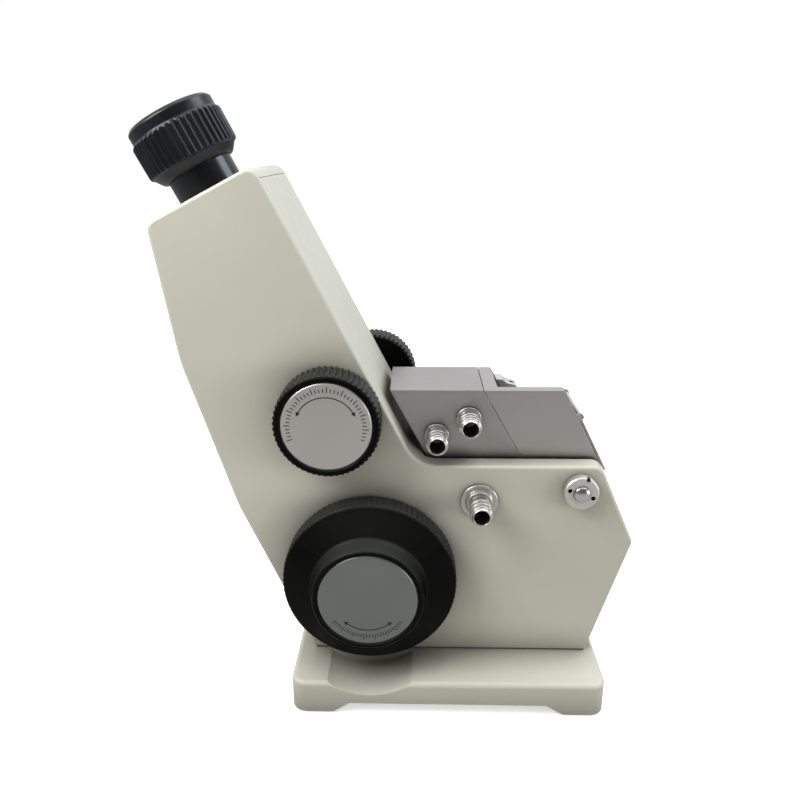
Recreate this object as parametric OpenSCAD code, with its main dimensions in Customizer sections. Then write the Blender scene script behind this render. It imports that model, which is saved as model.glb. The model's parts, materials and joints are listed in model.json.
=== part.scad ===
// Bench Abbe refractometer.
// Millimetres, +Z up. The origin is on the table, under the middle of the overall box.
// +X points to the prism end, -Y is the side with the adjustment knob.
// The modules measure X from the middle of the base plate, and placed() shifts them.

/* [Base] */
// Length of the base plate
base_len = 128; // [124:1:134]
// Width of the base plate
base_w = 100; // [90:1:110]
// Height of the base plate
base_h = 15; // [14:0.5:15]
// Height of the arch between the feet
arch_h = 5; // [3:0.5:6]

/* [Body] */
// Width of the cast body
body_w = 55; // [55:0.5:56]
// Wall thickness of the cast body
wall = 4; // [3.5:0.5:4]
// Radius of the body's outer edges
edge_r = 1.4; // [1:0.1:3]

/* [Eyepiece] */
// Outer radius of the ribbed dioptre ring
dioptre_r = 18.4; // [17.5:0.1:19]
// Number of ribs on the dioptre ring
dioptre_ribs = 44; // [36:1:52]

/* [Knobs] */
// Outer radius of the adjustment knob
adjust_r = 35.2; // [33:0.1:36]
// Outer radius of the dispersion knob and of the far dial
dispersion_r = 20.4; // [19.5:0.1:21]
// Radius of the adjustment knob's boss face
adjust_boss_r = 22; // [21.5:0.1:23]
// Radius of the adjustment knob's cap
adjust_cap_r = 19.7; // [18:0.1:20]
// Radius of the dispersion knob's cap
dispersion_cap_r = 17.2; // [15:0.1:17.5]

/* [Prism block] */
// Depth of the prism seats from the middle plane to the near side
seat_near = 18; // [16:0.5:19]
// Depth of the prism seats from the middle plane to the far side
seat_far = 15; // [14.5:0.5:15.5]

/* [Hidden] */
$fn = 64;

// From the middle of the overall box to the middle of the base plate
base_x = 23.57;

// Fixed by the optics: tilt of the telescope, the ledge beside the prisms, the tube, the prism seats
tilt = 63;
ledge_z = 101;
eye_tube_r = 13;
seat_top = 129.4;
seat_bottom = 98.8;

half_w = body_w / 2;
inner_w = half_w - wall;
run_gap = 0.05;
fit_gap = 0.01;
facet_fn = 32;

// Places in the XZ plane
adjust_at = [-31.9, 53.6];
dispersion_at = [-46.6, 122.3];
dial_at = [-33.1, 121.1];
hinge_at = [51.8, 91.3];
top_at = [-92.5, 203.8];

// Directions of the telescope: up along it, and across it towards the front cover
up = [-cos(tilt), sin(tilt)];
across = [sin(tilt), cos(tilt)];

// Compensator: the knob's shaft crosses the telescope axis at an offset
knob_from_top = dispersion_at - top_at;
pinion_s = knob_from_top * up;
shaft_offset = knob_from_top * across;
idler_at = top_at + pinion_s * up - shaft_offset * across;

// Swing mirror, on the telescope axis below the compensator
mirror_s = -127;
mirror_at = top_at + mirror_s * up;
mirror_tilt = -16.7;

// Gears
pinion_teeth = 12;
pinion_mod = 0.8;
crown_teeth = 36;
crown_reach = pinion_mod * crown_teeth / 2;
sector_teeth = 81;
sector_reach = norm(adjust_at - mirror_at);
sector_mod = 2 * sector_reach / (pinion_teeth + sector_teeth);
sector_dir = atan2(adjust_at[1] - mirror_at[1], adjust_at[0] - mirror_at[0]);
train_teeth = 18;
train_reach = norm(dial_at - idler_at);
train_mod = train_reach / (pinion_teeth + train_teeth);
train_dir = atan2(dial_at[1] - idler_at[1], dial_at[0] - idler_at[0]);
train_at = (dial_at + idler_at) / 2;

shaft_r = 3;
shaft_bore_y = [20, 25.2];
bush_r = 6;
idler_r = 2;
mirror_shaft_r = 2;
hinge_shaft_r = 3.3;
hinge_seat_r = 5;

// ---------- helpers ----------

// Extrudes a shape drawn in X and Z between two places along Y
module along_y(y0, y1) {
  translate([0, y1, 0]) rotate([90, 0, 0]) linear_extrude(y1 - y0) children();
}

// A round bar along Y
module bar_y(at, r, y0, y1) {
  translate([at[0], y1, at[1]]) rotate([90, 0, 0]) cylinder(r = r, h = y1 - y0);
}

// Turned parts whose own Z axis points out of the near or the far side
module to_near(at) {
  translate([at[0], 0, at[1]]) rotate([90, 0, 0]) children();
}

module to_far(at) {
  translate([at[0], 0, at[1]]) rotate([-90, 0, 0]) children();
}

// The telescope's own frame: Z up along it from the body's top face, X across it
module on_axis(s) {
  translate([top_at[0], 0, top_at[1]]) rotate([0, tilt - 90, 0]) translate([0, 0, s]) children();
}

// A solid turned from a list of [radius, height] points
module turned(points) {
  rotate_extrude() polygon(points);
}

// A ring between two radii and two heights
module ring(r_in, r_out, z0, z1) {
  translate([0, 0, z0]) difference() {
    cylinder(r = r_out, h = z1 - z0);
    translate([0, 0, -1]) cylinder(r = r_in, h = z1 - z0 + 2);
  }
}

// A circle whose edge carries evenly spaced round scallops
function scalloped(r, count, depth, steps = 6) = [
  for (i = [0 : count * steps - 1])
    let (a = 360 * i / (count * steps), dip = depth * pow(cos(180 * i / steps), 2))
    (r - dip) * [cos(a), sin(a)]
];

// The outline of a spur gear with one tooth centred on the X axis
function gear_outline(teeth, mod) =
  let (pitch_r = teeth * mod / 2, step = 360 / teeth,
       tooth = [[-mod, -0.35], [0, -0.21], [0.75 * mod, -0.095],
                [0.75 * mod, 0.095], [0, 0.21], [-mod, 0.35]])
  [for (i = [0 : teeth - 1]) for (p = tooth)
    (pitch_r + p[0]) * [cos((i + p[1]) * step), sin((i + p[1]) * step)]];

// A lens with two equal bulging faces
module lens(r, edge, bulge) {
  steps = 6;
  turned(concat(
    [for (i = [0 : steps]) [r * i / steps, -edge / 2 - bulge * (1 - pow(i / steps, 2))]],
    [for (i = [steps : -1 : 0]) [r * i / steps, edge / 2 + bulge * (1 - pow(i / steps, 2))]]
  ));
}

// The direction of a vector
function unit(v) = v / norm(v);

// The points of one corner p, rounded by an arc of radius r between its neighbours
function corner_arc(before, p, after, r, steps = 4) =
  let (a = unit(before - p), b = unit(after - p), half = acos(a * b) / 2,
       centre = p + unit(a + b) * r / sin(half), start = p + a * r / tan(half) - centre,
       side = a[0] * b[1] - a[1] * b[0] > 0 ? -1 : 1, from = atan2(start[1], start[0]))
  [for (i = [0 : steps])
    let (t = from + side * (180 - 2 * half) * i / steps)
    centre + r * [cos(t), sin(t)]];

// An outline given as [x, z, corner radius], with every corner rounded
function rounded(points) =
  let (n = len(points), at = [for (p = points) [p[0], p[1]]])
  [for (i = [0 : n - 1], q = points[i][2] == 0 ? [at[i]]
    : corner_arc(at[(i + n - 1) % n], at[i], at[(i + 1) % n], points[i][2])) q];

// A slab with rounded long edges, made of one convex outline
module rounded_slab(points) {
  hull() {
    for (i = [0 : 5]) {
      a = 18 * i;
      half = half_w - edge_r * (1 - sin(a));
      along_y(-half, half) offset(delta = -edge_r * (1 - cos(a))) polygon(points);
    }
  }
}

// ---------- base ----------

foot_out = 16;
foot_slope = 8;
base_corner_r = 6;
base_edge_r = 2;
scoop_r = 28.5;
scoop_floor = 9.2;
scoop_back = half_w + 1.5;
base_bolt_x = 44;
base_bolt_y = 20;
base_bolt_r = 2;
base_head_r = 3.5;
base_counterbore = 8;

module base_corner() {
  step = 5;
  turned(concat(
    [[0, 0], [base_corner_r - 0.8, 0], [base_corner_r, 0.8]],
    [for (i = [0 : step]) let (a = 90 * i / step)
      [base_corner_r - base_edge_r * (1 - cos(a)), base_h - base_edge_r * (1 - sin(a))]],
    [[0, base_h]]
  ));
}

module base() {
  color([0.76, 0.76, 0.71]) difference() {
    hull() {
      for (x = [-1, 1], y = [-1, 1]) {
        translate([x * (base_len / 2 - base_corner_r), y * (base_w / 2 - base_corner_r), 0])
          base_corner($fn = facet_fn);
      }
    }
    along_y(-base_w, base_w) polygon([
      [-base_len / 2 + foot_out, -1], [-base_len / 2 + foot_out, 0],
      [-base_len / 2 + foot_out + foot_slope, arch_h],
      [base_len / 2 - foot_out - foot_slope, arch_h],
      [base_len / 2 - foot_out, 0], [base_len / 2 - foot_out, -1]
    ]);
    bar_y([adjust_at[0], scoop_floor + scoop_r], scoop_r, -base_w, -scoop_back);
    for (x = [-1, 1], y = [-1, 1]) {
      translate([x * base_bolt_x, y * base_bolt_y, -1]) {
        cylinder(r = base_bolt_r + 0.25, h = base_h + 2);
        cylinder(r = base_head_r + 1, h = base_counterbore + 1);
      }
    }
  }
}

module base_screws() {
  color([0.5, 0.5, 0.5]) for (x = [-1, 1], y = [-1, 1]) {
    translate([x * base_bolt_x, y * base_bolt_y, 0]) difference() {
      union() {
        translate([0, 0, base_counterbore - 3.5]) cylinder(r = base_head_r, h = 3.5);
        translate([0, 0, base_counterbore - 1]) cylinder(r = base_bolt_r - 0.02, h = base_h + 1);
      }
      translate([0, 0, base_counterbore - 4]) cylinder(r = 1.7, h = 2.5, $fn = 6);
    }
  }
}

// ---------- body ----------

cover_corner = [-70.96, 214.8];
cover_foot_x = cover_corner[0] + (cover_corner[1] - ledge_z) / tan(tilt);

// The tall part that holds the telescope
tower_outline = rounded([
  [-56.5, base_h, 0], [-85.3, 82.4, 60], [-103.3, 143, 60], [-110.7, 194.7, 4.5],
  [cover_corner[0], cover_corner[1], 4.5], [cover_foot_x, ledge_z, 0], [10, base_h, 0]
]);

// The low part that carries the prisms
nose_top = [60, ledge_z];
nose_tip = [75.1, 67.6];
nose_foot = [59.6, base_h];
nose_outline = rounded([
  [-40, base_h, 0], [-40, ledge_z, 0], [nose_top[0], nose_top[1], 5], [nose_tip[0], nose_tip[1], 3],
  [nose_foot[0], nose_foot[1], 0]
]);

module body_outline() {
  polygon(tower_outline);
  polygon(nose_outline);
}

// Lower front face: X runs down it from the nose and Y points out of it
front_dir = atan2(nose_foot[1] - nose_tip[1], nose_foot[0] - nose_tip[0]);

module on_front() {
  translate(nose_tip) rotate(front_dir) children();
}

recess_half = 20.2;
recess_x = [4.4, 39];
recess_depth = 3.6;
reflector_pin = [6, -1.6];

slot_near = seat_near + 1.6;
slot_far = seat_far + 1.6;
slot_floor = 76.5;
deck_top = seat_bottom - fit_gap;
deck_end = 30;
deck_bottom = 92.5;

// Hollow of the casting: the outline less the wall, the prism deck and the solid hinge end
module cavity_outline() {
  difference() {
    offset(delta = -wall) body_outline();
    on_front() translate([1, -8]) square([46, 8]);
    translate([-14, deck_bottom]) square([60, 40]);
    translate([deck_end - 2, slot_floor - wall]) square([60, 60]);
  }
  translate([-50, base_h - 1]) square([104, 10]);
}

// Concave blend between the sloped cover and the ledge: slabs along the tangents of its arc
blend_r = 14;
blend_steps = 4;
blend_half = 7;
blend_depth = 15;
blend_at = [cover_foot_x + blend_r * tan(tilt / 2), ledge_z + blend_r];

module ledge_blend() {
  for (i = [1 : blend_steps]) {
    a = 270 - tilt * i / (blend_steps + 1);
    out = [cos(a), sin(a)];
    along = [-sin(a), cos(a)];
    foot = blend_at + blend_r * out;
    rounded_slab([
      foot - blend_half * along, foot + blend_half * along,
      foot + blend_half * along / 2 + blend_depth * out, foot - blend_half * along / 2 + blend_depth * out
    ]);
  }
}

cover_half = half_w - edge_r - 0.3;
cover_t = 2.4;
cover_top = 5;
cover_lip = 4;

// The sloped cover's own frame: X out of the slope, Z up along it from its foot
module on_slope() {
  translate([cover_foot_x, 0, ledge_z]) rotate([0, tilt - 90, 0]) children();
}

slope_len = (cover_corner[1] - ledge_z) / sin(tilt);
cover_z0 = 13;
cover_z1 = slope_len - cover_top;

module cover_block(inset, x0, x1) {
  on_slope() translate([x0, -cover_half + inset, cover_z0 + inset])
    cube([x1 - x0, 2 * (cover_half - inset), cover_z1 - cover_z0 - 2 * inset]);
}

cover_studs = [for (z = [0.3, 0.9], y = [-1, 1])
  [y * (cover_half - cover_lip / 2), cover_z0 + z * (cover_z1 - cover_z0)]];

module cover_stud(r) {
  for (b = cover_studs) {
    on_slope() translate([-wall - 1, b[0], b[1]]) rotate([0, 90, 0])
      cylinder(r = r, h = wall - cover_t + 1.5);
  }
}

reading_post_at = [-50, 67];
condenser_at = mirror_at + 21.5 * (adjust_at - mirror_at) / sector_reach;
condenser_r = 7.5;
window_r = 8.5;
boss_r = 5.2;
boss_end = 20.6;
bolt_boss_r = 5;
frame_ledge_y = 19.5;
frame_ledge_x = [[-19, -16.5], [9, 19]];
frame_ledge_t = 4;
frame_screw_x = [-17.7, 14];
frame_screw_y = 21.4;
train_pin_r = 1.5;
nozzle_near_at = [12, 86];
nozzle_far_at = [21, 84];
nozzle_stub_r = 2.99;

reflector_at = nose_tip + [
  reflector_pin[0] * cos(front_dir) - reflector_pin[1] * sin(front_dir),
  reflector_pin[0] * sin(front_dir) + reflector_pin[1] * cos(front_dir)
];
frame_z0 = 17.6;
frame_z1 = 21;
seat_bolt_x = [-2, 10];
seat_bolt_y = 11;
light_from = [14, 109.6];

// Holes or screws that hold the fixed prism seat down on the deck
module seat_bolts(r, z0, z1) {
  for (x = seat_bolt_x, y = [-1, 1]) {
    translate([x, y * seat_bolt_y, z0]) cylinder(r = r, h = z1 - z0);
  }
}

// The path of the light from the fixed prism to the swing mirror
module light_bore() {
  path = light_from - mirror_at;
  translate([mirror_at[0] + 6, 0, mirror_at[1] + 6 * path[1] / path[0]])
    rotate([0, atan2(path[0], path[1]), 0]) cylinder(r = 4.5, h = norm(path) - 6);
}

module shell_bosses() {
  for (side = [-1, 1]) {
    for (x = [-1, 1]) {
      translate([x * base_bolt_x, side * base_bolt_y, base_h]) cylinder(r = bolt_boss_r, h = 12);
    }
  }
  bar_y(mirror_at, boss_r, -inner_w - 0.5, -boss_end);
  bar_y(mirror_at, boss_r, boss_end, inner_w + 0.5);
  bar_y(adjust_at, boss_r, boss_end, inner_w + 0.5);
  bar_y(reading_post_at, 4, -inner_w - 0.5, 2);
  bar_y(train_at, 3.5, train_y[1] + 0.3, inner_w + 0.5);
  for (side = [-1, 1]) {
    for (x = frame_ledge_x) {
      on_axis(pinion_s + frame_z0 - frame_ledge_t)
        translate([x[0], side > 0 ? frame_ledge_y : -inner_w - 0.5, 0])
        cube([x[1] - x[0], inner_w + 0.5 - frame_ledge_y, frame_ledge_t - fit_gap]);
    }
  }
}

module shell_bores() {
  for (x = [-1, 1], y = [-1, 1]) {
    translate([x * base_bolt_x, y * base_bolt_y, base_h - 1]) cylinder(r = base_bolt_r, h = 11);
  }
  bar_y(adjust_at, bush_r, -half_w - 1, -inner_w + 1);
  bar_y(adjust_at, shaft_r + run_gap, shaft_bore_y[0], shaft_bore_y[1]);
  bar_y(dispersion_at, bush_r, -half_w - 1, -inner_w + 1);
  bar_y(dial_at, bush_r, inner_w - 1, half_w + 1);
  bar_y(mirror_at, mirror_shaft_r + run_gap, -shaft_bore_y[1], -shaft_bore_y[0]);
  bar_y(mirror_at, mirror_shaft_r + run_gap, shaft_bore_y[0], shaft_bore_y[1]);
  bar_y(condenser_at, window_r, inner_w - 1, half_w + 1);
  bar_y(hinge_at, hinge_seat_r, -half_w - 1, half_w + 1);
  bar_y(nozzle_near_at, nozzle_stub_r + fit_gap, -half_w - 1, -inner_w + 1);
  bar_y(nozzle_far_at, nozzle_stub_r + fit_gap, inner_w - 1, half_w + 1);
  bar_y(reading_post_at, 1.25, -6, 3);
  bar_y(train_at, train_pin_r + run_gap, train_y[1], 26.2);
  on_axis(-wall - 2) cylinder(r = eye_tube_r + fit_gap, h = wall + 4);
}

module shell() {
  color([0.8, 0.8, 0.75]) {
    difference() {
      union() {
        difference() {
          union() {
            rounded_slab(tower_outline);
            rounded_slab(nose_outline);
            ledge_blend();
          }
          along_y(-inner_w, inner_w) cavity_outline();
        }
        shell_bosses();
        flap_ears();
      }
      cover_block(0, -cover_t, 3);
      cover_block(cover_lip, -cover_t - wall - 2, 0);
      along_y(-slot_near, slot_far) polygon([
        [seat_left[0] - 1, seat_top], [seat_left[1] - 1, deck_top], [deck_end, deck_top],
        [deck_end, slot_floor], [90, slot_floor], [90, seat_top]
      ]);
      light_bore();
      seat_bolts(1.7, deck_bottom - 1, seat_bottom + 1);
      along_y(-recess_half, recess_half) on_front()
        translate([recess_x[0], -recess_depth]) square([recess_x[1] - recess_x[0], 10]);
      bar_y(reflector_at, 1.2 + run_gap, -recess_half - 3, recess_half + 3);
      shell_bores();
      cover_stud(1.5);
    }
  }
}

module front_cover() {
  color([0.85, 0.85, 0.81]) {
    cover_block(0.15, -cover_t + fit_gap, 0);
    difference() {
      cover_stud(1.49);
      on_slope() translate([0.4, -half_w, 0]) cube([10, body_w, slope_len]);
    }
  }
}

// ---------- bushes and bearings ----------

// A flanged bush for a control shaft, seated in the wall on the near side
module wall_bush(r_bore, length) {
  turned([
    [r_bore, half_w - wall - length], [bush_r + 0.8, half_w - wall - length], [bush_r + 0.8, half_w - wall],
    [bush_r - fit_gap, half_w - wall], [bush_r - fit_gap, half_w], [r_bore, half_w]
  ]);
}

module adjustment_bush() {
  color("goldenrod") to_near(adjust_at) wall_bush(shaft_r + run_gap, 4);
}

module dispersion_bush() {
  color("goldenrod") to_near(dispersion_at) wall_bush(shaft_r + run_gap, 3);
}

module dial_bush() {
  color("goldenrod") to_far(dial_at) ring(shaft_r + run_gap, bush_r - fit_gap, inner_w - 0.6, half_w);
}

flange_r = 6.9;
flange_t = 4.4;

// Angle and radius of each spanner hole; the last one breaks through the rim
flange_holes = [[164, 4.85], [-22, 4.85], [70, 6.2]];

module hinge_bearing(inner_end) {
  difference() {
    turned([
      [hinge_shaft_r + run_gap, inner_end], [hinge_seat_r - fit_gap, inner_end],
      [hinge_seat_r - fit_gap, half_w], [flange_r, half_w], [flange_r, half_w + flange_t - 0.5],
      [flange_r - 0.5, half_w + flange_t], [hinge_shaft_r + run_gap, half_w + flange_t]
    ]);
    for (h = flange_holes) {
      translate([h[1] * cos(h[0]), h[1] * sin(h[0]), half_w + 2]) cylinder(r = 0.9, h = flange_t);
    }
  }
}

module hinge_bearing_near() {
  color("silver") to_near(hinge_at) hinge_bearing(slot_near + 0.1);
}

module hinge_bearing_far() {
  color("silver") to_far(hinge_at) hinge_bearing(slot_far + 0.1);
}

// ---------- fixed prism seat ----------

seat_left = [-23.7, -7.6];
meet_foot = [30.5, seat_bottom];
meet_top_x = 13.3;
meet_dir = atan2(seat_top - seat_bottom, meet_top_x - meet_foot[0]);
film_gap = 0.15;
prism_half = 10;

// The meeting plane of the two prisms: X out of it to the right, Y up along it
module on_meet() {
  translate(meet_foot) rotate(meet_dir - 90) children();
}

module fixed_prism_outline(grow) {
  offset(delta = grow) polygon([[-0.2, 6], [-0.2, 30], [-10, 23], [-10, 11]]);
}

seat_nozzle_low_at = [-5.1, 110.5];
seat_nozzle_high_at = [7.7, 117.6];
lock_at = [12, 113];
lock_pin_at = [25.5, 113];
lock_pin_r = 1.2;
thermometer_at = [-5, 107.5];
thermometer_seat_r = 3;
lock_shaft_r = 2;
seat_stub = 3.4;
seat_stub_r = 2.49;

module refracting_prism_seat() {
  color([0.6, 0.58, 0.57]) difference() {
    along_y(-seat_near, seat_far) polygon([
      [seat_left[0], seat_top], [meet_top_x - film_gap, seat_top],
      [meet_foot[0] - film_gap, seat_bottom], [seat_left[1], seat_bottom]
    ]);
    along_y(-prism_half - 0.02, prism_half + 0.02) on_meet() fixed_prism_outline(0.02);
    along_y(-prism_half, prism_half) on_meet() translate([-1, 6]) square([3, 24]);
    light_bore();
    seat_bolts(1.5, seat_bottom - 1, seat_bottom + 5.5);
    bar_y(seat_nozzle_low_at, seat_stub_r + fit_gap, -seat_near - 1, -seat_near + seat_stub + 0.1);
    bar_y(seat_nozzle_high_at, seat_stub_r + fit_gap, -seat_near - 1, -seat_near + seat_stub + 0.1);
    bar_y(lock_at, lock_shaft_r + run_gap, seat_far - 3.8, seat_far + 1);
    bar_y(thermometer_at, thermometer_seat_r, seat_far - seat_stub - 0.1, seat_far + 1);
  }
}

module refracting_prism() {
  color([0.8, 0.9, 0.95, 0.5])
    along_y(-prism_half, prism_half) on_meet() fixed_prism_outline(0);
}

module seat_screws() {
  color([0.5, 0.5, 0.5]) {
    seat_bolts(1.49, deck_bottom, seat_bottom + 5);
    difference() {
      seat_bolts(2.8, deck_bottom - 2.8, deck_bottom - fit_gap);
      seat_bolts(1.3, deck_bottom - 3.5, deck_bottom - 1.4, $fn = 6);
    }
  }
}

// ---------- hose nozzles ----------

nozzle_r = 4.4;
nozzle_neck_r = 3.9;
nozzle_bore_r = 3;
land = 1.9;
groove = 0.9;

// A ribbed hose nozzle: stub below zero, stepped foot, three lands and a rounded tip
module hose_nozzle(stub_r, stub, foot, length) {
  first = length - 1.2 - 3 * land - 2 * groove;
  turned(concat(
    [[1.6, -stub], [stub_r, -stub], [stub_r, 0]],
    foot,
    [[nozzle_neck_r, foot[len(foot) - 1][1]]],
    [for (i = [0 : 2])
      for (p = [[nozzle_neck_r, 0], [nozzle_r, 0], [nozzle_r, land], [nozzle_neck_r, land]])
        [p[0], first + i * (land + groove) + p[1]]],
    [[nozzle_neck_r - 0.1, length - 0.6], [nozzle_neck_r - 0.5, length], [nozzle_bore_r, length],
     [nozzle_bore_r, 1.5], [1.6, 0.5]]
  ));
}

seat_foot = [[5, 0], [5, 1.4]];
body_foot = [[7.5, 0], [7.5, 1.6], [5.3, 1.6], [5.3, 3.6]];
seat_nozzle_len = 13;
body_nozzle_len = 15;

module seat_nozzle(at) {
  translate([0, -seat_near, 0]) to_near(at)
    hose_nozzle(seat_stub_r, seat_stub, seat_foot, seat_nozzle_len);
}

module seat_nozzle_low() {
  color("silver") seat_nozzle(seat_nozzle_low_at);
}

module seat_nozzle_high() {
  color("silver") seat_nozzle(seat_nozzle_high_at);
}

module body_nozzle_near() {
  color("silver") translate([0, -half_w, 0]) to_near(nozzle_near_at)
    hose_nozzle(nozzle_stub_r, wall + 1, body_foot, body_nozzle_len);
}

module body_nozzle_far() {
  color("silver") translate([0, half_w, 0]) to_far(nozzle_far_at)
    hose_nozzle(nozzle_stub_r, wall + 1, body_foot, body_nozzle_len);
}

thermometer_r = 2.6;
thermometer_len = 9;

module thermometer_socket() {
  color("silver") translate([0, seat_far, 0]) to_far(thermometer_at) turned([
    [thermometer_r, -seat_stub], [thermometer_seat_r - fit_gap, -seat_stub],
    [thermometer_seat_r - fit_gap, 0], [5, 0], [5, 2], [4.2, 2],
    [4.2, thermometer_len - 0.5], [3.8, thermometer_len], [thermometer_r, thermometer_len]
  ]);
}

// ---------- optics ----------

cell_r = 16.5;
housing_r = 18.6;
crown_root = 5.6;
crown_tip = 4.16;
pinion_y = [13.6, 15.2];

module optics_frame() {
  flange_half = inner_w - 0.1;
  color([0.35, 0.35, 0.37]) difference() {
    union() {
      on_axis(pinion_s) translate([0, 0, -19]) cylinder(r = housing_r, h = 19 + frame_z0 + 1);
      on_axis(pinion_s) translate([-19, -flange_half, frame_z0])
        cube([38, 2 * flange_half, frame_z1 - frame_z0]);
      bar_y(idler_at, 5.5, pinion_y[1] + 0.3, 19.2);
    }
    on_axis(pinion_s) {
      translate([0, 0, -17.5]) cylinder(r = cell_r + run_gap, h = 17.5 + frame_z0);
      translate([0, 0, -25]) cylinder(r = 11, h = 60);
      for (x = frame_screw_x, y = [-frame_screw_y, frame_screw_y]) {
        translate([x, y, frame_z0 - 1]) cylinder(r = 1.1, h = 6);
      }
    }
    bar_y(dispersion_at, 6.2, -20, -12.5);
    bar_y(idler_at, 6.2, 12.5, pinion_y[1] + 0.3);
    bar_y(idler_at, idler_r + run_gap, 12, 21);
  }
}

module frame_screws() {
  color([0.5, 0.5, 0.5]) for (x = frame_screw_x, y = [-frame_screw_y, frame_screw_y]) {
    on_axis(pinion_s) translate([x, y, frame_z0 + fit_gap]) {
      cylinder(r = 1, h = frame_z1 - frame_z0 + 0.5);
      translate([0, 0, frame_z1 - frame_z0]) cylinder(r = 1.8, h = 1.6);
    }
  }
}

eye_tube_foot = -26;
objective_len = 48;

module objective_tube() {
  color([0.2, 0.2, 0.2]) on_axis(pinion_s + frame_z1 + fit_gap) turned([
    [12, 0], [17, 0], [17, 2.5], [15, 2.5], [15, objective_len], [eye_tube_r + fit_gap, objective_len],
    [eye_tube_r + fit_gap, 12], [12, 12]
  ]);
}

module objective_lens() {
  color([0.8, 0.9, 0.95, 0.5]) on_axis(pinion_s + frame_z1 + 6) lens(12 - 0.02, 2.5, 1.6);
}

module eyepiece_tube() {
  color([0.12, 0.12, 0.12]) on_axis(0) turned([
    [11, eye_tube_foot], [eye_tube_r, eye_tube_foot], [eye_tube_r, 17.6], [11, 17.6]
  ]);
}

module reticle() {
  color([0.8, 0.9, 0.95, 0.5]) on_axis(-14) cylinder(r = 11 - 0.02, h = 2);
}

module eye_lens_cell() {
  color([0.15, 0.15, 0.15]) on_axis(0) turned([
    [9, 6], [11 - run_gap, 6], [11 - run_gap, 22.5], [9, 22.5]
  ]);
}

module eye_lens() {
  color([0.8, 0.9, 0.95, 0.5]) on_axis(18) lens(9 - 0.02, 3, 2);
}

dioptre_foot = 9.8;
dioptre_z0 = 13.4;
dioptre_z1 = 27;
dioptre_top = 32.3;
collar_r = 17.3;

module dioptre_ring() {
  color([0.1, 0.1, 0.1]) on_axis(0) difference() {
    union() {
      translate([0, 0, dioptre_z0]) linear_extrude(dioptre_z1 - dioptre_z0)
        polygon(scalloped(dioptre_r, dioptre_ribs, 0.8));
      turned([
        [0, dioptre_foot], [14.4, dioptre_foot], [15.2, dioptre_foot + 0.8],
        [dioptre_r - 0.9, dioptre_z0 + 0.1], [dioptre_r - 0.9, dioptre_z1 - 0.1],
        [collar_r, dioptre_z1 + 0.4], [collar_r, dioptre_top - 1.2], [collar_r - 1.2, dioptre_top],
        [0, dioptre_top]
      ]);
    }
    translate([0, 0, dioptre_foot - 1]) cylinder(r = eye_tube_r + run_gap, h = 10.6);
    translate([0, 0, dioptre_foot - 1]) cylinder(r = 11.05, h = 15);
    translate([0, 0, dioptre_foot]) cylinder(r = 8.4, h = 15);
    turned([[0, 24], [8.4, 24], [14.2, dioptre_top + 0.1], [0, dioptre_top + 0.1]]);
  }
}

// Plate that holds the scale's reading prism and lens
module reading_bracket() {
  color([0.35, 0.35, 0.37]) difference() {
    along_y(2 + fit_gap, 4) polygon([
      [-55, 62], [-44, 58.8], [-36.5, 62], [-33, 66], [-33, 73], [-40, 77], [-55, 73]
    ]);
    bar_y(reading_post_at, 1.3, 1, 5);
  }
}

module reading_prism() {
  color([0.8, 0.9, 0.95, 0.5]) along_y(4 + fit_gap, 12) translate([-42, 65])
    polygon([[0, 0], [8, 0], [8, 8]]);
}

module reading_lens() {
  color([0.8, 0.9, 0.95, 0.5]) translate([-49, 8, 69]) rotate([0, 90, 0]) lens(3.9, 2, 0.8);
}

module condenser_bezel() {
  color([0.12, 0.12, 0.12]) to_far(condenser_at) turned([
    [condenser_r - 1, inner_w], [window_r - fit_gap, inner_w], [window_r - fit_gap, half_w],
    [10.5, half_w], [10.5, half_w + 1.5], [9.5, half_w + 2.5], [condenser_r, half_w + 2.5],
    [condenser_r, half_w - 1], [condenser_r - 1, half_w - 1]
  ]);
}

module condenser_lens() {
  color([0.8, 0.9, 0.95, 0.5]) to_far(condenser_at)
    translate([0, 0, half_w - 1 + fit_gap]) cylinder(r = condenser_r - 0.02, h = 2);
}

// A small mirror flap above the condenser that throws room light on the scale
flap_pin_at = condenser_at + [0, 13];
flap_pin_y = half_w + 3.9;
flap_pin_r = 0.8;
flap_knuckle_r = 1.2;

module scale_mirror_flap() {
  color([0.75, 0.77, 0.78]) {
    difference() {
      translate([condenser_at[0] - 10, half_w + 3, condenser_at[1] - 11]) cube([20, 1.8, 24]);
      bar_y(condenser_at + [0, -9.5], 1.2, half_w, half_w + 6);
    }
    translate([condenser_at[0] - 10, flap_pin_y, flap_pin_at[1]]) rotate([0, 90, 0])
      cylinder(r = flap_knuckle_r, h = 20);
    for (x = [-12, 9]) {
      translate([condenser_at[0] + x, flap_pin_y, flap_pin_at[1]]) rotate([0, 90, 0])
        cylinder(r = flap_pin_r, h = 3);
    }
  }
}

// Two small ears on the far wall that hold the mirror flap
module flap_ears() {
  for (x = [-12.2, 10.2]) {
    translate([condenser_at[0] + x, half_w - 0.5, flap_pin_at[1]]) difference() {
      union() {
        translate([0, 0, -2]) cube([2, 4.4, 4]);
        translate([0, 4.4, 0]) rotate([0, 90, 0]) cylinder(r = 2, h = 2);
      }
      translate([-1, 4.4, 0]) rotate([0, 90, 0]) cylinder(r = flap_pin_r + run_gap, h = 4);
    }
  }
}

// ---------- adjustment drive ----------

adjust_back = 28.4;
adjust_rim = 38.2;
adjust_face = 50;
pinion_far = [15.5, 19.5];

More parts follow.
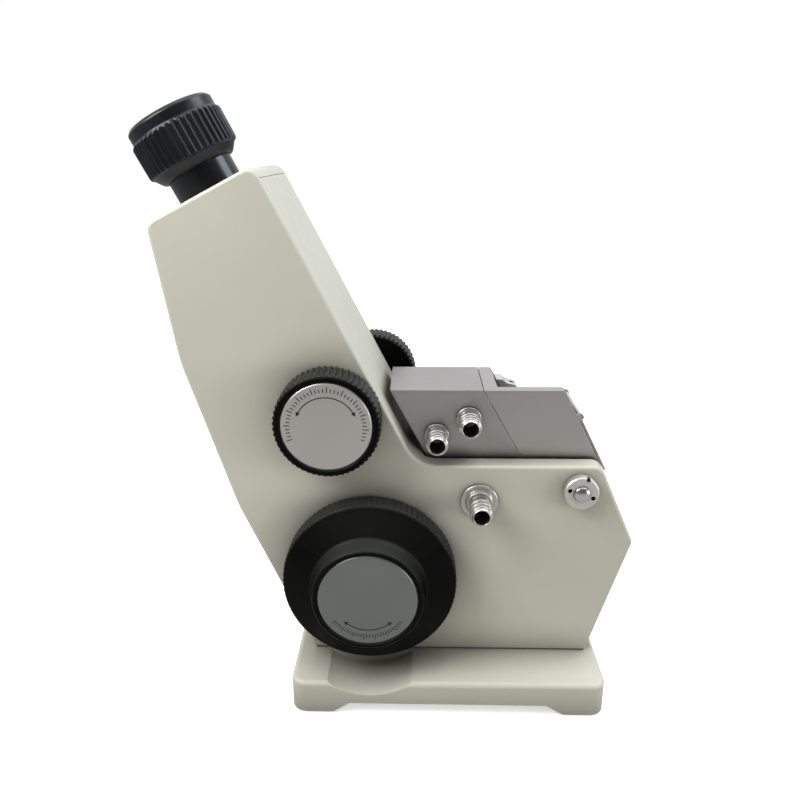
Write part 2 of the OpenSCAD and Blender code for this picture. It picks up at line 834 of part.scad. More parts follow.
module adjustment_knob() {
  color([0.08, 0.08, 0.08]) to_near(adjust_at) difference() {
    union() {
      translate([0, 0, adjust_back]) linear_extrude(adjust_rim - adjust_back - 1)
        polygon(scalloped(adjust_r, 90, 0.5, 4));
      turned([
        [0, adjust_back + 0.1], [adjust_r - 0.9, adjust_back + 0.1], [adjust_r - 0.9, adjust_rim - 0.4],
        [adjust_r - 1.7, adjust_rim + 0.3], [adjust_boss_r + 1.4, 42.8], [adjust_boss_r + 0.6, 44],
        [adjust_boss_r, adjust_face - 0.8], [adjust_boss_r - 0.8, adjust_face], [0, adjust_face]
      ]);
    }
    translate([0, 0, adjust_face - 1.5]) cylinder(r = adjust_cap_r + fit_gap, h = 3);
    translate([0, 0, adjust_back - 1]) cylinder(r = shaft_r + fit_gap, h = 16);
  }
}

module adjustment_cap() {
  color([0.6, 0.6, 0.6]) to_near(adjust_at) turned([
    [0, adjust_face - 1.5 + fit_gap], [adjust_cap_r, adjust_face - 1.5 + fit_gap],
    [adjust_cap_r, adjust_face - 0.5], [adjust_cap_r - 0.4, adjust_face - 0.1], [0, adjust_face - 0.1]
  ]);
}

module adjustment_shaft() {
  color([0.7, 0.7, 0.72]) bar_y(adjust_at, shaft_r, -42, 25);
}

module adjustment_pinion() {
  color("goldenrod") difference() {
    along_y(pinion_far[0], pinion_far[1]) translate(adjust_at) rotate(sector_dir + 180)
      polygon(gear_outline(pinion_teeth, sector_mod));
    bar_y(adjust_at, shaft_r + fit_gap, pinion_far[0] - 1, pinion_far[1] + 1);
  }
}

sector_y = [16, 19];
scale_y = [14.4, 15.9];
sector_span = 26;

// A piece of pie that points from the mirror shaft towards the pinion
module sector_wedge(half_angle, reach) {
  polygon([
    [0, 0],
    for (i = [-2 : 2]) reach * [cos(sector_dir + i * half_angle / 2), sin(sector_dir + i * half_angle / 2)]
  ]);
}

module scale_sector() {
  color("goldenrod") difference() {
    union() {
      along_y(sector_y[0], sector_y[1]) translate(mirror_at) intersection() {
        rotate(sector_dir + 180 / sector_teeth) polygon(gear_outline(sector_teeth, sector_mod));
        sector_wedge(sector_span, 50);
      }
      bar_y(mirror_at, 5, sector_y[0], sector_y[1]);
    }
    along_y(sector_y[0] - 1, sector_y[1] + 1) translate(mirror_at) intersection() {
      difference() {
        circle(r = 27);
        circle(r = 16);
      }
      sector_wedge(sector_span - 6, 50);
    }
    bar_y(mirror_at, mirror_shaft_r + fit_gap, sector_y[0] - 1, sector_y[1] + 1);
  }
}

module scale_plate() {
  color([0.8, 0.9, 0.95, 0.5]) along_y(scale_y[0], scale_y[1]) translate(mirror_at) intersection() {
    difference() {
      circle(r = 29);
      circle(r = 14);
    }
    sector_wedge(sector_span - 2, 50);
  }
}

module mirror_shaft() {
  color([0.7, 0.7, 0.72]) bar_y(mirror_at, mirror_shaft_r, -25, 25);
}

module mirror_holder() {
  color([0.3, 0.3, 0.32]) difference() {
    along_y(-10, 10) translate(mirror_at) rotate(mirror_tilt) {
      translate([-11, 2.2]) square([22, 2]);
      translate([-4, -3.5]) square([8, 6]);
    }
    bar_y(mirror_at, mirror_shaft_r + fit_gap, -11, 11);
  }
}

module swing_mirror() {
  color([0.8, 0.85, 0.9]) along_y(-9.5, 9.5) translate(mirror_at) rotate(mirror_tilt)
    translate([-10.5, 4.2 + fit_gap]) square([21, 2]);
}

// ---------- dispersion drive ----------

dispersion_back = 28.4;
dispersion_face = 41.5;

module hand_knob(r, cap_r) {
  difference() {
    union() {
      translate([0, 0, dispersion_back + 0.6]) linear_extrude(dispersion_face - dispersion_back - 1.4)
        polygon(scalloped(r, 56, 0.6, 5));
      turned([
        [0, dispersion_back], [r - 1.5, dispersion_back], [r - 0.7, dispersion_back + 0.8],
        [r - 0.7, dispersion_face - 1], [r - 1.6, dispersion_face], [0, dispersion_face]
      ]);
    }
    translate([0, 0, dispersion_face - 1.5]) cylinder(r = cap_r + fit_gap, h = 3);
    translate([0, 0, dispersion_back - 1]) cylinder(r = shaft_r + fit_gap, h = 10);
  }
}

module knob_cap(r, face) {
  turned([
    [0, face - 1.5 + fit_gap], [r, face - 1.5 + fit_gap], [r, face - 0.4], [r - 0.3, face - 0.1],
    [0, face - 0.1]
  ]);
}

module dispersion_knob() {
  color([0.08, 0.08, 0.08]) to_near(dispersion_at) hand_knob(dispersion_r, dispersion_cap_r);
}

module dispersion_cap() {
  color([0.65, 0.64, 0.62]) to_near(dispersion_at) knob_cap(dispersion_cap_r, dispersion_face);
}

// A twelve-tooth pinion on a control shaft that drives both crown wheels
module crown_pinion(at, y0, y1) {
  along_y(y0, y1) translate(at) rotate(90 + 90 - tilt) polygon(gear_outline(pinion_teeth, pinion_mod));
}

module dispersion_shaft() {
  color([0.7, 0.7, 0.72]) {
    bar_y(dispersion_at, shaft_r, -36, -pinion_y[0] - 0.3);
    crown_pinion(dispersion_at, -pinion_y[1], -pinion_y[0]);
  }
}

// A prism cell with a crown wheel; its teeth point down, towards the pinions
module prism_cell() {
  difference() {
    union() {
      translate([0, 0, crown_root]) cylinder(r = cell_r, h = frame_z0 - 0.1 - crown_root);
      for (i = [0 : crown_teeth - 1]) {
        rotate([0, 0, (i + 0.5) * 360 / crown_teeth]) translate([shaft_offset, -12.9, 0]) rotate([90, 0, 0])
          linear_extrude(2.7) polygon([
            [-0.85, crown_root + 0.2], [-0.27, crown_tip], [0.27, crown_tip], [0.85, crown_root + 0.2]
          ]);
      }
    }
    translate([-6, -6, crown_root - 1]) cube([12, 12, 30]);
  }
}

module amici_prism() {
  translate([-6 + 0.02, -6 + 0.02, crown_root + 0.5]) cube([12 - 0.04, 12 - 0.04, 11]);
}

module upper_cell() {
  color([0.45, 0.45, 0.47]) on_axis(pinion_s) prism_cell();
}

module upper_amici_prism() {
  color([0.8, 0.9, 0.95, 0.5]) on_axis(pinion_s) amici_prism();
}

module lower_cell() {
  color([0.45, 0.45, 0.47]) on_axis(pinion_s) mirror([0, 0, 1]) prism_cell();
}

module lower_amici_prism() {
  color([0.8, 0.9, 0.95, 0.5]) on_axis(pinion_s) mirror([0, 0, 1]) amici_prism();
}

train_y = [19.8, 22.3];

module train_spur(at, turn, teeth) {
  along_y(train_y[0], train_y[1]) translate(at) rotate(turn) polygon(gear_outline(teeth, train_mod));
}

module idler_gear() {
  color("goldenrod") {
    crown_pinion(idler_at, pinion_y[0], pinion_y[1]);
    bar_y(idler_at, idler_r, pinion_y[0] + 0.2, train_y[1] - 0.2);
    train_spur(idler_at, train_dir, pinion_teeth);
  }
}

module train_gear() {
  color("goldenrod") {
    train_spur(train_at, train_dir + 180 / train_teeth, train_teeth);
    bar_y(train_at, train_pin_r, train_y[0] + 0.2, 26);
  }
}

module dial_shaft() {
  color([0.7, 0.7, 0.72]) {
    train_spur(dial_at, train_dir, pinion_teeth);
    bar_y(dial_at, shaft_r, train_y[0] + 0.2, 36);
  }
}

module dial_knob() {
  color([0.08, 0.08, 0.08]) to_far(dial_at) difference() {
    hand_knob(dispersion_r - 1, 14);
    translate([0, 0, dispersion_face - 2.5]) cylinder(r = 12, h = 3);
  }
}

// ---------- hinged prism seat ----------

cheek_t = 4.7;
low_top = 120.4;
lug_t = 4.7;
seat_right_top = 45.3;
seat_right_foot = [61.8, 97.4];
hinge_boss_r = 6;
face_dir = atan2(seat_right_foot[1] - seat_top, seat_right_foot[0] - seat_right_top);
shield_pin = [13, 1];
shield_pin_r = 0.6;
shield_ear_r = 1.3;
shield_ear_t = 1.9;

// The hinged seat's outer face: X runs down it from its top edge and Y points out of it
module on_face() {
  translate([seat_right_top, seat_top]) rotate(face_dir) children();
}

module inlet_outline() {
  polygon([
    [meet_top_x + film_gap, seat_top], [seat_right_top, seat_top], seat_right_foot,
    [meet_foot[0] + film_gap, seat_bottom]
  ]);
}

module inlet_prism_outline(grow) {
  offset(delta = grow) polygon([[0.2, 7], [0.2, 25], [7, 20.5], [7, 10]]);
}

module inlet_prism_seat() {
  color([0.6, 0.58, 0.57]) {
    difference() {
      union() {
        along_y(-seat_near, -seat_near + cheek_t) inlet_outline();
        along_y(-seat_near, seat_far) intersection() {
          inlet_outline();
          translate([0, 80]) square([80, low_top - 80]);
        }
        along_y(-seat_near, seat_far) intersection() {
          inlet_outline();
          on_meet() translate([film_gap, 0]) square([lug_t, 60]);
        }
        bar_y(hinge_at, hinge_boss_r, -seat_near, seat_far);
        along_y(-seat_near, seat_far) polygon([
          [hinge_at[0] - hinge_boss_r, hinge_at[1]], [hinge_at[0] - hinge_boss_r, seat_bottom + 1],
          [60.6, seat_bottom + 1], [hinge_at[0] + hinge_boss_r, hinge_at[1]]
        ]);
        for (y = [-seat_near, seat_far - shield_ear_t]) {
          along_y(y, y + shield_ear_t) on_face() hull() {
            translate(shield_pin) circle(r = shield_ear_r, $fn = facet_fn);
            translate([shield_pin[0] - 1.5, -1]) square([3, 1]);
          }
        }
        bar_y(lock_pin_at, lock_pin_r, seat_far - 1, seat_far + 2.3);
      }
      along_y(-prism_half - 0.02, prism_half + 0.02) on_meet() inlet_prism_outline(0.02);
      along_y(-prism_half, prism_half) on_meet() translate([-2, 7]) square([3, 18]);
      along_y(-seat_near + cheek_t, seat_far - cheek_t) on_meet() translate([6.5, 9]) square([40, 40]);
      bar_y(hinge_at, hinge_shaft_r + fit_gap, -seat_near - 1, seat_far + 1);
      along_y(-seat_near - 1, seat_far + 1) on_face() translate(shield_pin)
        circle(r = shield_pin_r + run_gap);
    }
  }
}

module inlet_prism() {
  color([0.8, 0.9, 0.95, 0.5])
    along_y(-prism_half, prism_half) on_meet() inlet_prism_outline(0);
}

module hinge_shaft() {
  dome = 1.6;
  color("silver") {
    bar_y(hinge_at, hinge_shaft_r, -half_w - flange_t, half_w + flange_t);
    for (side = [0, 1]) {
      mirror([0, side, 0]) to_near(hinge_at) turned([
        [0, half_w + 4], [hinge_shaft_r, half_w + 4], [hinge_shaft_r, half_w + flange_t + 0.2],
        for (i = [0 : 4]) [hinge_shaft_r * cos(22.5 * i), half_w + flange_t + 0.2 + dome * sin(22.5 * i)]
      ]);
    }
  }
}

// Small closing catch behind the top of the hinged seat
module catch_bracket() {
  color([0.75, 0.73, 0.7]) difference() {
    along_y(-1, 7) polygon([
      [24.1, low_top + fit_gap], [19.8, 128.9], [22.6, 128.7], [24.2, 127.2], [28.4, 126.2],
      [29.6, low_top + fit_gap]
    ]);
    translate([25.6, 3, 121.4]) rotate([0, 12, 0]) cylinder(r = 1.3, h = 10);
  }
}

module light_shield() {
  plate_t = 1;
  plate_len = 26.5;
  color([0.7, 0.7, 0.7]) {
    along_y(-seat_near + shield_ear_t + 0.2, seat_far - shield_ear_t - 0.2) on_face() {
      translate([shield_pin[0], 0.3]) square([plate_len, plate_t]);
      translate(shield_pin) circle(r = shield_pin_r + 0.3);
    }
    along_y(-seat_near + 0.2, seat_far - 0.2) on_face() translate(shield_pin) circle(r = shield_pin_r);
  }
}

lock_reach = norm(lock_pin_at - lock_at);
lock_rest = 150;

module lock_handwheel() {
  color([0.1, 0.1, 0.1]) {
    along_y(seat_far + 0.3, seat_far + 2.1) translate(lock_at) rotate(lock_rest) difference() {
      union() {
        circle(r = 4.5);
        translate([0, -2.6]) square([lock_reach + 2.8, 5.2]);
      }
      translate([lock_reach, 0]) circle(r = lock_pin_r + 0.15);
      translate([lock_reach - lock_pin_r - 0.15, -4]) square([2 * (lock_pin_r + 0.15), 4]);
    }
    to_far(lock_at) {
      translate([0, 0, seat_far + 1.4]) cylinder(r = 3.8, h = 2);
      translate([0, 0, seat_far + 2.8]) linear_extrude(8) polygon(scalloped(9, 30, 0.5, 4));
      translate([0, 0, seat_far - 3.6]) cylinder(r = lock_shaft_r, h = 5);
    }
  }
}

// ---------- reflector ----------

module reflector() {
  half = recess_half - 0.3;
  color([0.12, 0.12, 0.12]) {
    along_y(-half, half) on_front() difference() {
      union() {
        translate([reflector_pin[0], -3.1]) square([recess_x[1] - 0.5 - reflector_pin[0], 3]);
        translate(reflector_pin) circle(r = 1.5);
      }
      translate([10, -1]) square([26, 2]);
    }
    for (side = [-1, 1]) {
      along_y(side > 0 ? half - 3 : -half, side > 0 ? half : -half + 3) on_front()
        translate([9, -1.2]) square([28, 1.1]);
      bar_y(reflector_at, 1.2, side > 0 ? half - 1 : -half - 2.5, side > 0 ? half + 2.5 : -half + 1);
    }
  }
}

module reflector_mirror() {
  half = recess_half - 3.4;
  color([0.8, 0.85, 0.9]) along_y(-half, half) on_front()
    translate([10.1, -1 + fit_gap]) square([25.8, 0.7]);
}

// The shift that brings the middle of the overall box over the origin
module placed() {
  translate([base_x, 0, 0]) children();
}

placed() base();
placed() base_screws();
placed() shell();
placed() front_cover();
placed() adjustment_bush();
placed() dispersion_bush();
placed() dial_bush();
placed() refracting_prism_seat();
placed() refracting_prism();
placed() seat_screws();
placed() seat_nozzle_low();
placed() seat_nozzle_high();
placed() body_nozzle_near();
placed() body_nozzle_far();
placed() thermometer_socket();
placed() hinge_bearing_near();
placed() hinge_bearing_far();
placed() optics_frame();
placed() frame_screws();
placed() objective_tube();
placed() objective_lens();
placed() eyepiece_tube();
placed() reticle();
placed() reading_bracket();
placed() reading_prism();
placed() reading_lens();
placed() condenser_bezel();
placed() condenser_lens();
placed() adjustment_knob();
placed() adjustment_cap();
placed() adjustment_shaft();
placed() adjustment_pinion();
placed() mirror_shaft();
placed() mirror_holder();
placed() swing_mirror();
placed() scale_sector();
placed() scale_plate();
placed() dispersion_knob();
placed() dispersion_cap();
placed() dispersion_shaft();
placed() upper_cell();
placed() upper_amici_prism();
placed() lower_cell();
placed() lower_amici_prism();
placed() idler_gear();
placed() train_gear();
placed() dial_knob();
placed() dial_shaft();
placed() inlet_prism_seat();
placed() inlet_prism();
placed() hinge_shaft();
placed() catch_bracket();
placed() light_shield();
placed() lock_handwheel();
placed() reflector();
placed() reflector_mirror();
placed() scale_mirror_flap();
placed() eye_lens_cell();
placed() eye_lens();
placed() dioptre_ring();
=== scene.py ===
"""A bench Abbe refractometer: finishes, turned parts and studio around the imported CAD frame."""

import json
from math import cos, pi, radians, sin

import bmesh
import bpy
from mathutils import Matrix, Vector


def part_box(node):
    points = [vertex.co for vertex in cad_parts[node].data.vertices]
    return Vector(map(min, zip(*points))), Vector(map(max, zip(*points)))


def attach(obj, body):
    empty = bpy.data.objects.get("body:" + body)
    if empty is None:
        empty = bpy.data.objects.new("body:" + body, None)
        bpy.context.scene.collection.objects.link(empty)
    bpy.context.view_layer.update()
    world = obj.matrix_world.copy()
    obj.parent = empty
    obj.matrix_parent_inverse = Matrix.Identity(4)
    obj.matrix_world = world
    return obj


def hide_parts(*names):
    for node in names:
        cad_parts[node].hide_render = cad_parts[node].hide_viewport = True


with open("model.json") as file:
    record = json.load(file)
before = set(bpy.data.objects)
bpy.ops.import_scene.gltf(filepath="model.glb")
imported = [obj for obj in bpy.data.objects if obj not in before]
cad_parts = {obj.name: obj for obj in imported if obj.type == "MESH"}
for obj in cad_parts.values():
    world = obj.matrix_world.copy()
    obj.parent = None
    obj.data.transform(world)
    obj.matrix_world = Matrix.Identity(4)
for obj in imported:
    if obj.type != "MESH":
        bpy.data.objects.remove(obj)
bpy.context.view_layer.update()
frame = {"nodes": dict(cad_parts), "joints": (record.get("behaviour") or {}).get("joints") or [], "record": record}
MM = 0.001
JOINTS = {j["name"]: j for j in frame["joints"]}
BODY_OF = {n: b for b, members in frame["record"]["behaviour"]["bodies"].items() for n in members}
SLOT_OF = {p["node"]: p["material_slot"] for p in frame["record"]["subparts"]}


# ---------- places, all read from the frame ----------

def middle(node):
    low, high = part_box(node)
    return (low + high) / 2


def placed(x_axis, y_axis, z_axis, origin):
    """The matrix of a local frame given by its axes and its origin."""
    m = Matrix((x_axis, y_axis, z_axis)).transposed().to_4x4()
    m.translation = origin
    return m


def near_frame(node):
    """Origin on the node's axis in the middle plane, local Z out of the near side, local Y up."""
    c = middle(node)
    return placed((1, 0, 0), (0, 0, 1), (0, -1, 0), (c.x, 0, c.z))


def far_frame(node):
    """The same, with local Z out of the far side."""
    c = middle(node)
    return placed((1, 0, 0), (0, 0, -1), (0, 1, 0), (c.x, 0, c.z))


scope_up = Vector(JOINTS["dioptre_turn"]["axis"]).normalized()
scope_across = Vector((0, 1, 0)).cross(scope_up)
SCOPE = placed(scope_across, (0, 1, 0), scope_up, JOINTS["dioptre_turn"]["pos_m"])


# ---------- node materials ----------

class Nodes:
    """Short names for building a Principled material with nodes."""

    def __init__(self, name):
        self.material = bpy.data.materials.new(name)
        self.material.use_nodes = True
        self.tree = self.material.node_tree
        self.shader = self.tree.nodes["Principled BSDF"]
        coord = self.tree.nodes.new("ShaderNodeTexCoord")
        self.object = coord.outputs["Object"]

    def link(self, out, into):
        self.tree.links.new(out, into)

    def set(self, **values):
        for key, value in values.items():
            socket = self.shader.inputs[key.replace("_", " ")]
            if isinstance(value, bpy.types.NodeSocket):
                self.link(value, socket)
            else:
                socket.default_value = value

    def scaled(self, vector, scale):
        n = self.tree.nodes.new("ShaderNodeMapping")
        n.inputs["Scale"].default_value = scale
        self.link(vector, n.inputs["Vector"])
        return n.outputs["Vector"]

    def noise(self, scale, detail=3.0, vector=None, roughness=0.55):
        n = self.tree.nodes.new("ShaderNodeTexNoise")
        n.inputs["Scale"].default_value = scale
        n.inputs["Detail"].default_value = detail
        n.inputs["Roughness"].default_value = roughness
        self.link(vector or self.object, n.inputs["Vector"])
        return n.outputs["Fac"]

    def remap(self, value, low, high, from_low=0.3, from_high=0.7):
        n = self.tree.nodes.new("ShaderNodeMapRange")
        n.inputs["From Min"].default_value = from_low
        n.inputs["From Max"].default_value = from_high
        n.inputs["To Min"].default_value = low
        n.inputs["To Max"].default_value = high
        self.link(value, n.inputs["Value"])
        return n.outputs["Result"]

    def mix(self, factor, a, b):
        n = self.tree.nodes.new("ShaderNodeMix")
        n.data_type = "RGBA"
        self.link(factor, n.inputs["Factor"])
        for socket, value in ((n.inputs["A"], a), (n.inputs["B"], b)):
            if isinstance(value, bpy.types.NodeSocket):
                self.link(value, socket)
            else:
                socket.default_value = (*value, 1.0)
        return n.outputs["Result"]

    def math(self, kind, a, b=0.0):
        n = self.tree.nodes.new("ShaderNodeMath")
        n.operation = kind
        for socket, value in zip(n.inputs, (a, b)):
            if isinstance(value, bpy.types.NodeSocket):
                self.link(value, socket)
            else:
                socket.default_value = value
        return n.outputs["Value"]

    def bump(self, height, distance, strength=1.0, radius=0.0):
        """Bump of a height field, over edges that are rounded by radius."""
        n = self.tree.nodes.new("ShaderNodeBump")
        n.inputs["Strength"].default_value = strength
        n.inputs["Distance"].default_value = distance
        self.link(height, n.inputs["Height"])
        if radius:
            self.link(self.rounded(radius), n.inputs["Normal"])
        self.link(n.outputs["Normal"], self.shader.inputs["Normal"])

    def rounded(self, radius):
        n = self.tree.nodes.new("ShaderNodeBevel")
        n.samples = 4
        n.inputs["Radius"].default_value = radius
        return n.outputs["Normal"]

    def edges(self, radius):
        """One on edges within radius, zero on flat faces."""
        geometry = self.tree.nodes.new("ShaderNodeNewGeometry")
        n = self.tree.nodes.new("ShaderNodeVectorMath")
        n.operation = "DOT_PRODUCT"
        self.link(self.rounded(radius), n.inputs[0])
        self.link(geometry.outputs["True Normal"], n.inputs[1])
        return self.remap(n.outputs["Value"], 1.0, 0.0, 0.75, 0.99)

    def upward(self):
        """One on faces that look up, zero on upright and lower ones."""
        geometry = self.tree.nodes.new("ShaderNodeNewGeometry")
        split = self.tree.nodes.new("ShaderNodeSeparateXYZ")
        self.link(geometry.outputs["Normal"], split.inputs[0])
        return self.remap(split.outputs["Z"], 0.0, 1.0, 0.2, 1.0)

    def painted_crevice_shade(self, color, reach, depth):
        """The colour, darkened in corners and gaps narrower than reach: painted shade where shadow falls."""
        n = self.tree.nodes.new("ShaderNodeAmbientOcclusion")
        n.samples = 6
        n.inputs["Distance"].default_value = reach
        shade = self.remap(n.outputs["AO"], depth, 1.0, 0.15, 0.95)
        scale = self.tree.nodes.new("ShaderNodeVectorMath")
        scale.operation = "SCALE"
        self.link(color, scale.inputs[0])
        self.link(shade, scale.inputs["Scale"])
        return scale.outputs["Vector"]


def varied(nodes, color, spread, scale, detail=4.0):
    """The colour, lightened and darkened by a noise."""
    dark = [c * (1 - spread) for c in color]
    light = [min(1.0, c * (1 + spread)) for c in color]
    return nodes.mix(nodes.remap(nodes.noise(scale, detail), 0.0, 1.0), dark, light)


def paint(name, color):
    n = Nodes(name)
    base = varied(n, color, 0.035, 14.0)
    # Lighter along rounded edges: partly thin, rubbed paint, partly a painted highlight.
    worn_and_highlit = n.mix(n.math("MULTIPLY", n.edges(1.5 * MM), 0.45), base, [min(1.0, c * 1.35) for c in color])
    # Darker in corners and gaps between parts: painted shade.
    n.set(Base_Color=n.painted_crevice_shade(worn_and_highlit, 16 * MM, 0.28))
    n.set(Roughness=n.remap(n.noise(180.0), 0.34, 0.46), Specular_IOR_Level=0.5)
    n.set(Coat_Weight=0.12, Coat_Roughness=0.25)
    peel = n.math("ADD", n.noise(420.0, 2.0), n.math("MULTIPLY", n.noise(1500.0, 2.0), 0.35))
    n.bump(peel, 0.05 * MM, 0.35, 0.3 * MM)
    return n.material


# Dust colour. On the plastics it is also a painted sheen on up-facing faces and edges.
DUST_AND_SHEEN = (0.052, 0.054, 0.045)


def plastic(name, color, roughness, grain, specular=0.1, shine=0.5, dust_and_sheen_level=0.6):
    n = Nodes(name)
    worn_and_highlit = n.edges(0.7 * MM)
    # Edges and up-facing faces are lightened towards the dust colour: partly dust, partly a painted sheen where
    # the top light falls.
    dust_and_sheen = n.math("MULTIPLY", n.math("MAXIMUM", worn_and_highlit, n.upward()), dust_and_sheen_level)
    n.set(Base_Color=n.mix(dust_and_sheen, varied(n, color, 0.25, 60.0), [c * 2.0 + d for c, d in zip(color, DUST_AND_SHEEN)]))
    n.set(Roughness=n.remap(n.noise(260.0), roughness - 0.06, roughness + 0.08))
    n.set(Specular_IOR_Level=n.remap(worn_and_highlit, specular, shine, 0.0, 1.0))
    n.bump(n.noise(grain, 3.0), 0.03 * MM, 0.5, 0.25 * MM)
    return n.material


def metal(name, color, roughness, streak=(1, 1, 1), streak_scale=900.0, depth=0.012, spread=0.06,
          radius=0.25):
    """Plated or turned metal with fine streaks that run along the small axes of streak."""
    n = Nodes(name)
    lines = n.noise(streak_scale, 2.0, n.scaled(n.object, streak))
    shade = varied(n, color, spread, 35.0)
    # Lighter along rounded edges: a painted highlight.
    painted_edge_highlight = n.mix(n.math("MULTIPLY", n.edges(0.4 * MM), 0.5), shade, [min(1.0, c * 1.5) for c in color])
    # Darker in corners and bores: painted shade.
    n.set(Base_Color=n.painted_crevice_shade(painted_edge_highlight, 5 * MM, 0.12), Metallic=1.0)
    n.set(Roughness=n.math("ADD", n.remap(n.noise(90.0), roughness - 0.04, roughness + 0.05),
                           n.remap(lines, -0.05, 0.05)))
    n.bump(lines, depth * MM, 0.6, radius * MM)
    return n.material


def turned_face(name, color, roughness, centre):
    """Satin anodised disc with very fine rings round an axis along Y."""
    n = Nodes(name)
    shift = n.tree.nodes.new("ShaderNodeVectorMath")
    shift.operation = "SUBTRACT"
    shift.inputs[1].default_value = centre
    n.link(n.object, shift.inputs[0])
    flat = n.scaled(shift.outputs["Vector"], (1, 0, 1))
    length = n.tree.nodes.new("ShaderNodeVectorMath")
    length.operation = "LENGTH"
    n.link(flat, length.inputs[0])
    radius = n.tree.nodes.new("ShaderNodeCombineXYZ")
    n.link(length.outputs["Value"], radius.inputs["X"])
    rings = n.noise(2600.0, 2.0, radius.outputs["Vector"])
    pearl = n.noise(2200.0, 2.0)
    n.set(Base_Color=varied(n, color, 0.05, 30.0), Metallic=0.75)
    n.set(Roughness=n.math("ADD", n.remap(rings, roughness - 0.05, roughness + 0.05),
                           n.remap(pearl, -0.04, 0.04)))
    n.bump(n.math("ADD", rings, n.math("MULTIPLY", pearl, 0.6)), 0.006 * MM, 0.6, 0.2 * MM)
    return n.material


def glass(name, tint):
    n = Nodes(name)
    n.set(Base_Color=varied(n, tint, 0.02, 80.0), Transmission_Weight=1.0, IOR=1.52)
    n.set(Roughness=n.remap(n.noise(150.0), 0.0, 0.03), Coat_Weight=0.3, Coat_Tint=(0.6, 0.7, 1.0, 1.0))
    return n.material


def silvered(name):
    n = Nodes(name)
    n.set(Base_Color=varied(n, (0.86, 0.88, 0.9), 0.02, 50.0), Metallic=1.0)
    n.set(Roughness=n.remap(n.noise(120.0), 0.015, 0.06))
    return n.material


PAINT = (0.60, 0.59, 0.50)
FINISH = {
    "paint": paint("cream_enamel", PAINT),
    "black_plastic": plastic("black_plastic", (0.0014, 0.0016, 0.0014), 0.36, 900.0, 0.07),
    # The bluish tint of this black is a painted reflection, standing in for the bluish sheen of the eyepiece's
    # highlights.
    "black_metal": plastic("black_enamel", (0.005, 0.006, 0.009), 0.20, 500.0, 0.55, 0.55, 0.2),
    "satin_nickel": metal("satin_nickel", (0.47, 0.445, 0.44), 0.42, (0.3, 1, 1), 900.0, 0.002, 0.03),
    "bright_nickel": metal("bright_nickel", (0.66, 0.64, 0.60), 0.33, (1, 0.1, 1), 700.0, 0.003),
    "steel": metal("turned_steel", (0.60, 0.60, 0.61), 0.24, (1, 0.1, 1)),
    "brass": metal("turned_brass", (0.72, 0.52, 0.24), 0.26, (1, 0.1, 1)),
    "glass": glass("optical_glass", (0.93, 0.97, 0.98)),
    "mirror": silvered("silvered_mirror"),
}
CAP_GREY = {"adjustment_cap": (0.21, 0.218, 0.212), "dispersion_cap": (0.56, 0.535, 0.515)}
FINISH["cap_aluminium"] = turned_face(
    "cap_anodised", CAP_GREY["dispersion_cap"], 0.38, middle("dispersion_cap"))
ADJUST_CAP = turned_face("cap_anodised_grey", CAP_GREY["adjustment_cap"], 0.38, middle("adjustment_cap"))
# The bluish tint of this black is a painted reflection, standing in for the bluish sheen of the eyepiece's
# highlights.
EYEPIECE = plastic("eyepiece_plastic", (0.006, 0.007, 0.011), 0.30, 900.0, 0.42, 0.22, 0.0)
# The small bright fittings have a lighter plating than the fixed seat. The light shield takes the same pale nickel
# as a painted highlight, so that it reads as a bright line. The hinged seat's lighter nickel is painted light: a
# lit copy of the fixed seat's plating.
PALE_NICKEL_AND_SHIELD_HIGHLIGHT = metal("pale_nickel", (0.78, 0.74, 0.72), 0.45, (0.3, 1, 1), 900.0, 0.002, 0.03)
HINGED_SEAT_LIT_NICKEL = metal("hinged_seat_nickel", (0.53, 0.50, 0.495), 0.40, (0.3, 1, 1), 900.0, 0.002, 0.03)
PRINT = plastic("printed_marks", (0.02, 0.02, 0.022), 0.5, 1500.0, 0.1, 0.1)


# ---------- mesh tools ----------

def add(name, mesh, node, replaced=None, material=None):
    """A finished piece that rides on the node's body, takes its slot and, if asked, stands for it."""
    piece = bpy.data.objects.new(name, mesh)
    bpy.context.scene.collection.objects.link(piece)
    mesh.materials.clear()
    mesh.materials.append(material or FINISH[SLOT_OF[node]])
    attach(piece, BODY_OF[node])
    if replaced:
        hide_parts(*replaced)
    return piece


def smooth(mesh, sharp_deg=38):
    """Smooth shading, with the edges steeper than the angle kept sharp."""
    bm = bmesh.new()
    bm.from_mesh(mesh)
    for f in bm.faces:
        f.smooth = True
    for e in bm.edges:
        e.smooth = not (len(e.link_faces) == 2 and e.calc_face_angle(0) > radians(sharp_deg))
    bm.to_mesh(mesh)
    bm.free()


def even_normals(piece):
    m = piece.modifiers.new("even_normals", "WEIGHTED_NORMAL")
    m.mode = "FACE_AREA"
    m.keep_sharp = True


def machined(node, bevel, segments=3, name=None, sharp_deg=25, material=None):
    """The CAD node's own shape with its sharp edges rounded."""
    bm = bmesh.new()
    bm.from_mesh(frame["nodes"][node].data)
    bmesh.ops.remove_doubles(bm, verts=bm.verts, dist=0.002 * MM)
    bmesh.ops.dissolve_limit(bm, angle_limit=radians(0.4), verts=bm.verts, edges=bm.edges)
    mesh = bpy.data.meshes.new(name or node + "_finished")
    bm.to_mesh(mesh)
    bm.free()
    smooth(mesh, 60)
    piece = add(name or node + "_finished", mesh, node, [node], material)
    if bevel:
        m = piece.modifiers.new("edges", "BEVEL")
        m.width = bevel * MM
        m.segments = segments
        m.limit_method = "ANGLE"
        m.angle_limit = radians(sharp_deg)
        m.use_clamp_overlap = True
        m.miter_outer = "MITER_ARC"
    even_normals(piece)
    return piece


